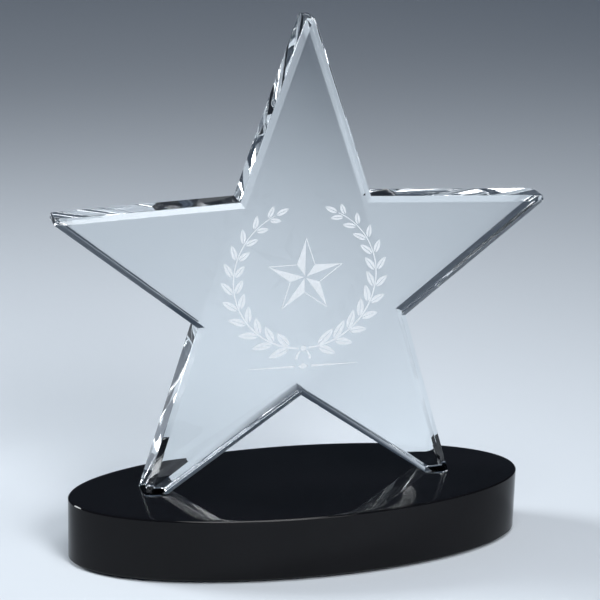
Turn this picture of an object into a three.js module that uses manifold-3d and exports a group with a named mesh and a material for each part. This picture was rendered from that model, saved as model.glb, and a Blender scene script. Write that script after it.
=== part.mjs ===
// Crystal award: a bevelled five-point star of clear glass, bonded by its two lower
// points to an oval base of black glass that stands on four rubber bumpers.
// Units are millimetres and +Z is up. The origin is on the ground under the middle of
// the base, +X runs along the base's length, and the star's front face looks to -Y.

import * as THREE from 'three';
import { mergeVertices } from 'three/addons/utils/BufferGeometryUtils.js';
import Module from 'manifold-3d';

const BUMPER = { diameter: 10, height: 1.2, edge: 0.4, x: 56, y: 18 };

const BASE = { length: 187, depth: 76.2, height: 25.4, chamfer: 0.5 };

const ADHESIVE = { thickness: 0.2, inset: 0.4, corner: 1 };

const STAR = {
  thickness: 14.1,
  bevelWidth: 2.2,
  bevelDepth: 1.7,
  centreHeight: 82.6,
  topPoint: 112.4,
  sidePoint: 106.6,
  footPoint: 112.9,
  valley: 44.8,
  topCut: 107.4,
  sideCut: 103.6,
  setback: 2.2,
};

const BASE_SEGMENTS = 96;
const BUMPER_SEGMENTS = 32;
const CORNER_SEGMENTS = 4;

const baseTop = BUMPER.height + BASE.height;
const starFoot = baseTop + ADHESIVE.thickness;

const clearGlass = { color: 0xdfe8ec, roughness: 0.03, metalness: 0 };
const blackGlass = { color: 0x08090b, roughness: 0.05, metalness: 0 };
const curedAdhesive = { color: 0xcfd6d8, roughness: 0.25, metalness: 0 };
const blackRubber = { color: 0x1a1a1b, roughness: 0.85, metalness: 0 };

const wasm = await Module();
wasm.setup();

function toManifold(geometry) {
  const bare = geometry.index ? geometry.toNonIndexed() : geometry.clone();
  bare.deleteAttribute('normal');
  bare.deleteAttribute('uv');
  const merged = mergeVertices(bare);
  return new wasm.Manifold(new wasm.Mesh({
    numProp: 3,
    vertProperties: new Float32Array(merged.attributes.position.array),
    triVerts: new Uint32Array(merged.index.array),
  }));
}

function toGeometry(manifold) {
  const mesh = manifold.getMesh();
  const geometry = new THREE.BufferGeometry();
  geometry.setAttribute('position', new THREE.BufferAttribute(mesh.vertProperties, 3));
  geometry.setIndex(new THREE.BufferAttribute(mesh.triVerts, 1));
  geometry.computeVertexNormals();
  return geometry;
}

function namedMesh(name, geometry, finish) {
  const mesh = new THREE.Mesh(geometry, new THREE.MeshStandardMaterial(finish));
  mesh.name = name;
  return mesh;
}

function pointAt(degrees, radius) {
  const angle = THREE.MathUtils.degToRad(degrees);
  return new THREE.Vector2(radius * Math.cos(angle), radius * Math.sin(angle));
}

// Where two straight cuts meet. A cut is square to its direction, at its distance from the origin.
function meetingPoint(first, second) {
  const a = pointAt(first.degrees, 1);
  const b = pointAt(second.degrees, 1);
  const determinant = a.x * b.y - a.y * b.x;
  return new THREE.Vector2(
    (first.distance * b.y - second.distance * a.y) / determinant,
    (second.distance * a.x - first.distance * b.x) / determinant,
  );
}

// The straight cut along one edge of a counterclockwise outline.
function edgeCut(from, to) {
  const degrees = THREE.MathUtils.radToDeg(Math.atan2(to.y - from.y, to.x - from.x)) - 90;
  return { degrees, distance: pointAt(degrees, 1).dot(from) };
}

// The corners of a closed run of cuts, every cut moved inwards by the inset unless it is square.
function ringOf(cuts, inset) {
  const moved = cuts.map((cut) => ({ ...cut, distance: cut.distance - (cut.square ? 0 : inset) }));
  return moved.map((cut, i) => meetingPoint(cut, moved[(i + 1) % moved.length]));
}

// A slab inside a run of cuts, centred on z = 0, with flat bevels round both of its faces.
function bevelledSlab(cuts) {
  const half = STAR.thickness / 2;
  const outline = ringOf(cuts, 0);
  const face = ringOf(cuts, STAR.bevelWidth);
  const rings = [
    { points: face, z: -half },
    { points: outline, z: STAR.bevelDepth - half },
    { points: outline, z: half - STAR.bevelDepth },
    { points: face, z: half },
  ];
  const count = outline.length;
  const index = [];
  for (let start = 0; start < (rings.length - 1) * count; start += count) {
    for (let i = 0; i < count; i += 1) {
      const here = start + i;
      const next = start + ((i + 1) % count);
      index.push(here, next, next + count, here, next + count, here + count);
    }
  }
  const front = (rings.length - 1) * count;
  for (const [a, b, c] of THREE.ShapeUtils.triangulateShape(face, [])) {
    index.push(c, b, a, front + a, front + b, front + c);
  }
  const positions = rings.flatMap(({ points, z }) => points.flatMap((point) => [point.x, point.y, z]));
  const geometry = new THREE.BufferGeometry();
  geometry.setAttribute('position', new THREE.Float32BufferAttribute(positions, 3));
  geometry.setIndex(index);
  return geometry;
}

// The star before its points are blunted, about its own middle.
function sharpStar() {
  const pointRadii = [STAR.topPoint, STAR.sidePoint, STAR.footPoint, STAR.footPoint, STAR.sidePoint];
  const outline = pointRadii.flatMap((radius, arm) => [
    pointAt(90 + 72 * arm, radius),
    pointAt(126 + 72 * arm, STAR.valley),
  ]);
  return bevelledSlab(outline.map((point, i) => edgeCut(outline.at(i - 1), point)));
}

// The room that the finished star fills: the feet are sawn level and square, and the other
// three points are blunted and bevelled like the long edges.
function trimmingBlock() {
  return bevelledSlab([
    { degrees: -90, distance: STAR.centreHeight, square: true },
    { degrees: 18, distance: STAR.sideCut },
    { degrees: 90, distance: STAR.topCut },
    { degrees: 162, distance: STAR.sideCut },
  ]);
}

function crystalStar() {
  const trimmed = toManifold(sharpStar()).intersect(toManifold(trimmingBlock()));
  const geometry = toGeometry(trimmed);
  geometry.rotateX(Math.PI / 2);
  const mesh = namedMesh('crystal_star', geometry, clearGlass);
  mesh.position.set(0, STAR.setback, starFoot + STAR.centreHeight);
  return mesh;
}

function ovalBase() {
  const oval = new THREE.Shape();
  oval.absellipse(0, 0, BASE.length / 2, BASE.depth / 2, 0, 2 * Math.PI);
  const geometry = new THREE.ExtrudeGeometry(oval, {
    depth: BASE.height - 2 * BASE.chamfer,
    bevelThickness: BASE.chamfer,
    bevelSize: BASE.chamfer,
    bevelOffset: -BASE.chamfer,
    bevelSegments: 1,
    curveSegments: BASE_SEGMENTS / 2,
  });
  const mesh = namedMesh('oval_base', geometry, blackGlass);
  mesh.position.z = BUMPER.height + BASE.chamfer;
  return mesh;
}

// How far along X the level foot of the right leg reaches, on its inner and outer side.
function footSpan() {
  const level = -STAR.centreHeight;
  const point = pointAt(-54, STAR.footPoint);
  return [pointAt(-90, STAR.valley), pointAt(-18, STAR.valley)].map((valley) => {
    const share = (level - point.y) / (valley.y - point.y);
    return point.x + share * (valley.x - point.x);
  });
}

function roundedRectangle(width, depth, corner) {
  const x = width / 2 - corner;
  const y = depth / 2 - corner;
  const shape = new THREE.Shape();
  shape.absarc(x, y, corner, 0, Math.PI / 2);
  shape.absarc(-x, y, corner, Math.PI / 2, Math.PI);
  shape.absarc(-x, -y, corner, Math.PI, 1.5 * Math.PI);
  shape.absarc(x, -y, corner, 1.5 * Math.PI, 2 * Math.PI);
  return shape;
}

function adhesiveFilm(name, side) {
  const [inner, outer] = footSpan();
  const width = outer - inner - 2 * ADHESIVE.inset;
  const depth = STAR.thickness - 2 * STAR.bevelDepth - 2 * ADHESIVE.inset;
  const geometry = new THREE.ExtrudeGeometry(roundedRectangle(width, depth, ADHESIVE.corner), {
    depth: ADHESIVE.thickness,
    bevelEnabled: false,
    curveSegments: CORNER_SEGMENTS,
  });
  const mesh = namedMesh(name, geometry, curedAdhesive);
  mesh.position.set((side * (inner + outer)) / 2, STAR.setback, baseTop);
  return mesh;
}

function bumper(name, x, y) {
  const radius = BUMPER.diameter / 2;
  const profile = [
    new THREE.Vector2(0, 0),
    new THREE.Vector2(radius - BUMPER.edge, 0),
    new THREE.Vector2(radius, BUMPER.edge),
    new THREE.Vector2(radius, BUMPER.height),
    new THREE.Vector2(0, BUMPER.height),
  ];
  const geometry = new THREE.LatheGeometry(profile, BUMPER_SEGMENTS);
  geometry.rotateX(Math.PI / 2);
  const mesh = namedMesh(name, geometry, blackRubber);
  mesh.position.set(x, y, 0);
  return mesh;
}

const group = new THREE.Group();
group.add(ovalBase(), crystalStar());
group.add(adhesiveFilm('left_adhesive_film', -1), adhesiveFilm('right_adhesive_film', 1));
for (const [end, x] of [['left', -BUMPER.x], ['right', BUMPER.x]]) {
  for (const [side, y] of [['front', -BUMPER.y], ['rear', BUMPER.y]]) {
    group.add(bumper(`${side}_${end}_bumper`, x, y));
  }
}

export default group;
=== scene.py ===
"""Looks of the crystal award: a bevelled clear glass star on an oval black glass base.

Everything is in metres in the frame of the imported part: +Z up, +X along the base's length,
the star's etched front face towards -Y and the ground at z = 0.
"""

import math

import bmesh
import bpy
from mathutils import Matrix, Vector


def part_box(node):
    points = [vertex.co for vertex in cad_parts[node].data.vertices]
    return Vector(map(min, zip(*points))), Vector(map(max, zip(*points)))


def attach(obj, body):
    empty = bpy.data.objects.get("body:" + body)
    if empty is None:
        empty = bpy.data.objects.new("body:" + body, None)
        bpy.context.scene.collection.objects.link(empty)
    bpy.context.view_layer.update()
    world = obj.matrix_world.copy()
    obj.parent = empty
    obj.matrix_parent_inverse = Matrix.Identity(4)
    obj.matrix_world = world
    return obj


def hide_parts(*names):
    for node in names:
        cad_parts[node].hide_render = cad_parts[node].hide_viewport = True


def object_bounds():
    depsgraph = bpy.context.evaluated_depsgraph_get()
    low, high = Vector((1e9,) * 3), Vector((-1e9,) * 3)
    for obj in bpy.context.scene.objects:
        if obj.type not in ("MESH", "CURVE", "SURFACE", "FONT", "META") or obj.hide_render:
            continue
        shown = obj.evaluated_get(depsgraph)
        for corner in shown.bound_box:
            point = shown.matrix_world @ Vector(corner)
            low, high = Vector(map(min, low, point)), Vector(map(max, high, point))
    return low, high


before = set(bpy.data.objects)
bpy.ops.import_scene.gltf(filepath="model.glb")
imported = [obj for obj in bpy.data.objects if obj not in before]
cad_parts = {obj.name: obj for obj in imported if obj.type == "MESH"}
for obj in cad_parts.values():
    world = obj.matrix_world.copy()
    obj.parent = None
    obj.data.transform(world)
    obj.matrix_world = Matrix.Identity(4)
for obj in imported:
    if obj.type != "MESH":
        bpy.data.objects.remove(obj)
cad_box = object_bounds()

MM = 0.001
BODY = "root"


def towards(azimuth, elevation):
    """The unit vector from the award to a camera or light; azimuth 0 is in front of the star."""
    a = math.radians(azimuth)
    e = math.radians(elevation)
    return Vector((math.sin(a) * math.cos(e), -math.cos(a) * math.cos(e), math.sin(e)))


# ---------------------------------------------------------------- camera

CAMERA_AZIMUTH = -15.84
CAMERA_ELEVATION = 17.96
CAMERA_ROLL = 1.465
CAMERA_DISTANCE = 0.9085
CAMERA_LENS = 138.0
CAMERA_TARGET = Vector((-0.00055, 0.0, 0.10354))


def make_camera():
    data = bpy.data.cameras.new("camera")
    data.lens = CAMERA_LENS
    data.sensor_width = 36
    data.clip_start = 0.01
    data.clip_end = 50
    camera = bpy.data.objects.new("camera", data)
    bpy.context.scene.collection.objects.link(camera)
    back = towards(CAMERA_AZIMUTH, CAMERA_ELEVATION)
    aim = (-back).to_track_quat("-Z", "Y").to_matrix().to_4x4()
    roll = Matrix.Rotation(math.radians(CAMERA_ROLL), 4, "Z")
    camera.matrix_world = Matrix.Translation(CAMERA_TARGET + back * CAMERA_DISTANCE) @ aim @ roll
    bpy.context.scene.camera = camera


make_camera()


# ---------------------------------------------------------------- node helpers


def new_material(name):
    material = bpy.data.materials.new(name)
    material.use_nodes = True
    return material, material.node_tree.nodes, material.node_tree.links


def object_noise(nodes, links, scale, detail=4.0, roughness=0.5):
    place = nodes.new("ShaderNodeTexCoord")
    texture = nodes.new("ShaderNodeTexNoise")
    texture.inputs["Scale"].default_value = scale
    texture.inputs["Detail"].default_value = detail
    texture.inputs["Roughness"].default_value = roughness
    links.new(place.outputs["Object"], texture.inputs["Vector"])
    return texture.outputs["Fac"]


def ramp(nodes, links, source, stops):
    node = nodes.new("ShaderNodeValToRGB")
    elements = node.color_ramp.elements
    while len(elements) < len(stops):
        elements.new(0.5)
    for element, (place, value) in zip(elements, stops):
        element.position = place
        element.color = (*value, 1.0) if isinstance(value, tuple) else (value, value, value, 1.0)
    links.new(source, node.inputs["Fac"])
    return node.outputs["Color"]


def add_bump(nodes, links, shader, height, strength, distance):
    bump = nodes.new("ShaderNodeBump")
    bump.inputs["Strength"].default_value = strength
    bump.inputs["Distance"].default_value = distance
    links.new(height, bump.inputs["Height"])
    links.new(bump.outputs["Normal"], shader.inputs["Normal"])


# ---------------------------------------------------------------- materials


def clear_glass():
    material, nodes, links = new_material("clear_glass")
    shader = nodes["Principled BSDF"]
    shader.inputs["Base Color"].default_value = (0.935, 0.970, 0.985, 1)
    shader.inputs["Transmission Weight"].default_value = 1.0
    shader.inputs["IOR"].default_value = 1.52
    smear = object_noise(nodes, links, 60, detail=6)
    links.new(ramp(nodes, links, smear, [(0.35, 0.0), (0.75, 0.008)]), shader.inputs["Roughness"])
    # Hand polishing leaves the surface very slightly wavy, which shows mostly in the ground edges.
    wave = object_noise(nodes, links, 45, detail=0)
    add_bump(nodes, links, shader, wave, 0.5, 0.0003)
    return material


def black_glass():
    material, nodes, links = new_material("black_glass")
    shader = nodes["Principled BSDF"]
    # Black glass is really about 1.5; this lower index is picked for looks, to mirror the floor less.
    shader.inputs["IOR"].default_value = 1.27
    cloud = object_noise(nodes, links, 25, detail=5)
    colour = ramp(nodes, links, cloud, [(0.3, (0.0025, 0.0024, 0.0030)), (0.7, (0.0040, 0.0038, 0.0048))])
    links.new(colour, shader.inputs["Base Color"])
    wipe = object_noise(nodes, links, 90, detail=8)
    links.new(ramp(nodes, links, wipe, [(0.35, 0.03), (0.8, 0.07)]), shader.inputs["Roughness"])
    return material


def cured_adhesive():
    material, nodes, links = new_material("cured_adhesive")
    shader = nodes["Principled BSDF"]
    shader.inputs["Base Color"].default_value = (0.93, 0.95, 0.95, 1)
    shader.inputs["Transmission Weight"].default_value = 1.0
    shader.inputs["IOR"].default_value = 1.49
    bubbles = object_noise(nodes, links, 1800, detail=2)
    links.new(ramp(nodes, links, bubbles, [(0.45, 0.05), (0.7, 0.3)]), shader.inputs["Roughness"])
    return material


def bumper_rubber():
    material, nodes, links = new_material("bumper_rubber")
    shader = nodes["Principled BSDF"]
    grain = object_noise(nodes, links, 3500, detail=3)
    colour = ramp(nodes, links, grain, [(0.3, (0.012, 0.012, 0.013)), (0.75, (0.03, 0.03, 0.031))])
    links.new(colour, shader.inputs["Base Color"])
    links.new(ramp(nodes, links, grain, [(0.3, 0.75), (0.7, 0.92)]), shader.inputs["Roughness"])
    add_bump(nodes, links, shader, grain, 0.4, 0.00005)
    return material


def frosted_etch():
    material, nodes, links = new_material("frosted_etch")
    shader = nodes["Principled BSDF"]
    shader.inputs["Roughness"].default_value = 0.85
    shader.inputs["Specular IOR Level"].default_value = 0.2
    grain = object_noise(nodes, links, 5200, detail=4)
    colour = ramp(nodes, links, grain, [(0.3, (0.80, 0.84, 0.87)), (0.7, (0.95, 0.97, 0.98))])
    links.new(colour, shader.inputs["Base Color"])
    links.new(ramp(nodes, links, grain, [(0.25, 0.72), (0.7, 0.9)]), shader.inputs["Alpha"])
    add_bump(nodes, links, shader, grain, 0.5, 0.00003)
    return material


def use_material(obj, material):
    obj.data.materials.clear()
    obj.data.materials.append(material)


# ---------------------------------------------------------------- stage

# Light that enters the star's edges is reflected inside it many times before it comes out.
GLASS_BOUNCES = 48

STAGE_FLAT_RADIUS = 3.2
STAGE_WALL_RADIUS = 4.4
STAGE_WALL_HEIGHT = 4.0
STAGE_SWEEP_STEPS = 8
STAGE_AROUND = 96
STAGE_PAPER = (0.66, 0.70, 0.74)

SKY_COLOUR = (0.50, 0.60, 0.76)
SKY_STRENGTH = 0.22


def stage_material():
    material, nodes, links = new_material("stage_paper")
    shader = nodes["Principled BSDF"]
    shader.inputs["Base Color"].default_value = (*STAGE_PAPER, 1)
    shader.inputs["Roughness"].default_value = 0.9
    shader.inputs["Specular IOR Level"].default_value = 0.1
    return material


def make_stage():
    """A plain floor that curves up into a wall all round."""
    profile = [(STAGE_FLAT_RADIUS, 0.0)]
    sweep = STAGE_WALL_RADIUS - STAGE_FLAT_RADIUS
    for step in range(1, STAGE_SWEEP_STEPS + 1):
        turn = math.radians(90 * step / STAGE_SWEEP_STEPS)
        profile.append((STAGE_FLAT_RADIUS + sweep * math.sin(turn), sweep * (1 - math.cos(turn))))
    profile.append((STAGE_WALL_RADIUS, STAGE_WALL_HEIGHT))
    bm = bmesh.new()
    rings = [oval_ring(bm, Vector(), radius, radius, height, STAGE_AROUND) for radius, height in profile]
    bm.faces.new(rings[0])
    join_rings(bm, rings)
    stage = mesh_object("studio_sweep", bm)
    smooth_within(stage, 30)
    use_material(stage, stage_material())


def area_light(name, power, size, azimuth, elevation, distance, colour, spread):
    """A round softbox aimed at the award. Its grid narrows the beam to the spread, in degrees."""
    data = bpy.data.lights.new(name, "AREA")
    data.shape = "DISK"
    data.size = size
    data.energy = power
    data.color = colour
    data.spread = math.radians(spread)
    light = bpy.data.objects.new(name, data)
    bpy.context.scene.collection.objects.link(light)
    back = towards(azimuth, elevation)
    target = (cad_box[0] + cad_box[1]) / 2
    aim = (-back).to_track_quat("-Z", "Y").to_matrix().to_4x4()
    light.matrix_world = Matrix.Translation(target + back * distance) @ aim


def make_lights():
    # The narrow beams leave the far floor dimmer, so that the clear star stands out against it.
    area_light("key_softbox", 2.0, 0.6, 5, 68, 1.1, (0.96, 0.98, 1.0), spread=100)
    area_light("front_softbox", 2.2, 0.6, 15, 36, 1.5, (0.97, 0.98, 1.0), spread=70)
    area_light("rear_left_softbox", 2.4, 0.5, -117, 24, 1.5, (0.93, 0.97, 1.0), spread=60)
    world = bpy.data.worlds.new("world")
    bpy.context.scene.world = world
    world.use_nodes = True
    background = world.node_tree.nodes["Background"]
    background.inputs["Color"].default_value = (*SKY_COLOUR, 1)
    background.inputs["Strength"].default_value = SKY_STRENGTH
    bpy.context.scene.view_settings.view_transform = "Standard"
    cycles = bpy.context.scene.cycles
    cycles.max_bounces = GLASS_BOUNCES
    cycles.transmission_bounces = GLASS_BOUNCES
    cycles.glossy_bounces = GLASS_BOUNCES


# ---------------------------------------------------------------- mesh helpers


def mesh_object(name, bm):
    bmesh.ops.recalc_face_normals(bm, faces=bm.faces)
    mesh = bpy.data.meshes.new(name)
    bm.to_mesh(mesh)
    bm.free()
    obj = bpy.data.objects.new(name, mesh)
    bpy.context.scene.collection.objects.link(obj)
    return obj


def oval_ring(bm, centre, half_x, half_y, height, around):
    ring = []
    for k in range(around):
        angle = 2 * math.pi * k / around
        x = centre.x + half_x * math.cos(angle)
        y = centre.y + half_y * math.sin(angle)
        ring.append(bm.verts.new((x, y, centre.z + height)))
    return ring


def join_rings(bm, rings):
    around = len(rings[0])
    for lower, upper in zip(rings, rings[1:]):
        for k in range(around):
            n = (k + 1) % around
            bm.faces.new((lower[k], lower[n], upper[n], upper[k]))


def close_rings(bm, rings):
    """A closed body from rings in rising order."""
    bm.faces.new(list(reversed(rings[0])))
    bm.faces.new(rings[-1])
    join_rings(bm, rings)


def clean_copy(node):
    """A node's mesh with its flat faces whole again, as a bmesh."""
    bm = bmesh.new()
    bm.from_mesh(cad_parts[node].data)
    bmesh.ops.remove_doubles(bm, verts=bm.verts, dist=0.001 * MM)
    bmesh.ops.dissolve_limit(bm, angle_limit=math.radians(0.5), verts=bm.verts, edges=bm.edges)
    return bm


def smooth_within(obj, degrees):
    for polygon in obj.data.polygons:
        polygon.use_smooth = True
    obj.data.set_sharp_from_angle(angle=math.radians(degrees))


def stand_for(obj, node):
    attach(obj, BODY)
    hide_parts(node)


# ---------------------------------------------------------------- star

ARRIS_ROUND = 0.18 * MM


def make_star():
    bm = clean_copy("crystal_star")
    bm.normal_update()
    # Only the outward arrises are eased: the creases in the star's valleys stay crisp.
    bmesh.ops.bevel(
        bm,
        geom=[edge for edge in bm.edges if edge.is_convex],
        offset=ARRIS_ROUND,
        segments=2,
        profile=0.5,
        affect="EDGES",
        clamp_overlap=True,
    )
    star = mesh_object("polished_star", bm)
    smooth_within(star, 12)
    use_material(star, clear_glass())
    stand_for(star, "crystal_star")


# ---------------------------------------------------------------- etched emblem

ETCH_GAP = 0.01 * MM
ETCH_THICKNESS = 0.02 * MM
EMBLEM_CENTRE = Vector((0.0, 114.0 * MM))
WREATH_RADIUS = 29.0 * MM
WREATH_LEAVES = 11
LEAF_STEPS = 9
BRANCH_STEPS = 48
KNOT_RADIUS = 1.2 * MM
INNER_STAR_CENTRE = EMBLEM_CENTRE + Vector((0, 0.5 * MM))
INNER_STAR_RADIUS = 16.0 * MM
INNER_STAR_WAIST = 6.4 * MM
RULE_CENTRE = Vector((0, 77.5 * MM))
RULE_LENGTH = 19.0 * MM


def along(degrees, length=1.0):
    angle = math.radians(degrees)
    return Vector((math.cos(angle), math.sin(angle))) * length


def etch(bm, outline, face_y):
    """A thin closed plate just in front of the star's face, from a counterclockwise outline in (x, z)."""
    front = [bm.verts.new((p.x, face_y - ETCH_GAP - ETCH_THICKNESS, p.y)) for p in outline]
    back = [bm.verts.new((p.x, face_y - ETCH_GAP, p.y)) for p in outline]
    bm.faces.new(front)
    bm.faces.new(list(reversed(back)))
    for k in range(len(outline)):
        n = (k + 1) % len(outline)
        bm.faces.new((front[n], front[k], back[k], back[n]))


def etch_leaf(bm, root, degrees, length, width, bend, face_y):
    """A pointed leaf in two halves, with a clear line between them for the midrib."""
    forward = along(degrees)
    sideways = along(degrees + 90)
    for side in (1, -1):
        rib = []
        edge = []
        for step in range(LEAF_STEPS + 1):
            t = step / LEAF_STEPS
            spine = root + forward * length * t + sideways * bend * length * t * (1 - t)
            clear = 0.16 * MM * (1 - 0.6 * t)
            swell = clear + 0.5 * width * math.sin(math.pi * t**0.85) ** 0.8
            rib.append(spine + sideways * side * clear)
            edge.append(spine + sideways * side * swell)
        outline = rib + list(reversed(edge[1:-1]))
        etch(bm, outline if side > 0 else list(reversed(outline)), face_y)


def etch_ribbon(bm, points, widths, face_y):
    """A strip that follows the points and changes in width."""
    left = []
    right = []
    for k, point in enumerate(points):
        ahead = points[min(k + 1, len(points) - 1)] - points[max(k - 1, 0)]
        across = Vector((-ahead.y, ahead.x)).normalized() * widths[k] / 2
        left.append(point + across)
        right.append(point - across)
    etch(bm, right + list(reversed(left)), face_y)


def etch_branch(bm, side, face_y):
    """One side of the wreath, from the tie at the bottom up to the open top."""

    def place(t):
        turn = 90 - side * (176 - 150 * t)
        return EMBLEM_CENTRE + along(turn, WREATH_RADIUS), turn + side * 90

    shares = [step / BRANCH_STEPS for step in range(BRANCH_STEPS + 1)]
    points = [place(t)[0] for t in shares]
    etch_ribbon(bm, points, [(0.75 - 0.45 * t) * MM for t in shares], face_y)
    for k in range(WREATH_LEAVES):
        t = (k + 0.6) / WREATH_LEAVES
        size = 1.0 - 0.42 * t
        root, heading = place(t)
        for spread, length, hand in ((34, 8.8, 1), (-36, 7.8, -1)):
            etch_leaf(
                bm,
                root + along(heading + hand * 90, 0.7 * MM),
                heading + spread,
                length * size * MM,
                3.0 * size * MM,
                -0.10 * hand,
                face_y,
            )
    tip, heading = place(1.0)
    etch_leaf(bm, tip + along(heading, 0.6 * MM), heading, 5.4 * MM, 1.9 * MM, 0.0, face_y)


def etch_tie(bm, face_y):
    """The knot that gathers the two branches, with a tail to each side."""
    knot = EMBLEM_CENTRE + along(-90, WREATH_RADIUS)
    etch(bm, [knot + along(30 * k, KNOT_RADIUS) for k in range(12)], face_y)
    shares = [step / 8 for step in range(9)]
    for side in (1, -1):
        tail = [knot + along(-90 + side * (52 - 20 * t), (1.7 + 3.6 * t) * MM) for t in shares]
        etch_ribbon(bm, tail, [(0.5 + 0.6 * t) * MM for t in shares], face_y)


def etch_faceted_star(bm, centre, radius, waist, face_y):
    """A five-point star whose left-hand facets are etched and right-hand facets are only outlined."""
    for k in range(5):
        point = centre + along(90 + 72 * k, radius)
        before = centre + along(90 + 72 * k - 36, waist)
        after = centre + along(90 + 72 * k + 36, waist)
        middle = (centre + point + after) / 3
        etch(bm, [middle + (p - middle) * 0.93 for p in (centre, point, after)], face_y)
        etch_ribbon(bm, [point.lerp(before, 0.02), before], [0.35 * MM, 0.35 * MM], face_y)


def etch_rule(bm, centre, length, face_y):
    """A tapered rule to each side of a small diamond."""
    shares = [step / 12 for step in range(13)]
    for side in (1, -1):
        points = [centre + Vector((side * (3.4 * MM + length * t), 0)) for t in shares]
        etch_ribbon(bm, points, [(0.95 - 0.75 * t) * MM for t in shares], face_y)
    etch(bm, [centre + along(90 * k, 2.1 * MM if k % 2 == 0 else 1.35 * MM) for k in range(4)], face_y)


def make_emblem():
    face_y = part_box("crystal_star")[0].y
    bm = bmesh.new()
    etch_branch(bm, 1, face_y)
    etch_branch(bm, -1, face_y)
    etch_tie(bm, face_y)
    etch_faceted_star(bm, INNER_STAR_CENTRE, INNER_STAR_RADIUS, INNER_STAR_WAIST, face_y)
    etch_rule(bm, RULE_CENTRE, RULE_LENGTH, face_y)
    emblem = mesh_object("etched_emblem", bm)
    use_material(emblem, frosted_etch())
    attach(emblem, BODY)


# ---------------------------------------------------------------- base

BASE_CHAMFER = 0.5 * MM
BASE_EDGE_ROUND = 0.15 * MM
BASE_AROUND = 256


def corner_arc(before, corner, after, radius, steps):
    """Points of a small round that replaces a profile's corner."""
    into = (before - corner).normalized()
    out = (after - corner).normalized()
    start = corner + into * radius
    end = corner + out * radius
    points = []
    for step in range(steps + 1):
        t = step / steps
        points.append(start * (1 - t) ** 2 + corner * 2 * t * (1 - t) + end * t**2)
    return points


def make_base():
    low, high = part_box("oval_base")
    centre = Vector(((low.x + high.x) / 2, (low.y + high.y) / 2, 0.0))
    half_x = (high.x - low.x) / 2
    half_y = (high.y - low.y) / 2
    inset = BASE_CHAMFER
    outline = [
        Vector((6 * inset, low.z)),
        Vector((inset, low.z)),
        Vector((0.0, low.z + inset)),
        Vector((0.0, high.z - inset)),
        Vector((inset, high.z)),
        Vector((6 * inset, high.z)),
    ]
    profile = [outline[0]]
    for before, corner, after in zip(outline, outline[1:], outline[2:]):
        profile += corner_arc(before, corner, after, BASE_EDGE_ROUND, 4)
    profile.append(outline[-1])
    bm = bmesh.new()
    rings = [
        oval_ring(bm, centre, half_x - inward, half_y - inward, height, BASE_AROUND)
        for inward, height in profile
    ]
    close_rings(bm, rings)
    base = mesh_object("polished_base", bm)
    smooth_within(base, 25)
    use_material(base, black_glass())
    stand_for(base, "oval_base")


# ---------------------------------------------------------------- adhesive and bumpers


BUMPER_AROUND = 64
BUMPER_EDGE_STEPS = 6


def make_bumper(node, material):
    low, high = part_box(node)
    centre = Vector(((low.x + high.x) / 2, (low.y + high.y) / 2, low.z))
    radius = (high.x - low.x) / 2
    height = high.z - low.z
    profile = [(0.3 * radius, 0.0), (0.75 * radius, 0.0)]
    for step in range(BUMPER_EDGE_STEPS + 1):
        turn = math.radians(90 * step / BUMPER_EDGE_STEPS)
        outward = (0.88 + 0.12 * math.sin(turn)) * radius
        profile.append((outward, 0.55 * height * (1 - math.cos(turn))))
    profile += [(radius, 0.9 * height), (0.99 * radius, height), (0.3 * radius, height)]
    bm = bmesh.new()
    close_rings(bm, [oval_ring(bm, centre, out, out, rise, BUMPER_AROUND) for out, rise in profile])
    bumper = mesh_object(node + "_moulded", bm)
    smooth_within(bumper, 35)
    use_material(bumper, material)
    stand_for(bumper, node)


def make_adhesive(node, material):
    film = mesh_object(node + "_bead", clean_copy(node))
    smooth_within(film, 40)
    use_material(film, material)
    stand_for(film, node)


make_stage()
make_lights()
make_star()
make_emblem()
make_base()
adhesive = cured_adhesive()
for side in ("left", "right"):
    make_adhesive(side + "_adhesive_film", adhesive)
rubber = bumper_rubber()
for corner in ("front_left", "rear_left", "front_right", "rear_right"):
    make_bumper(corner + "_bumper", rubber)
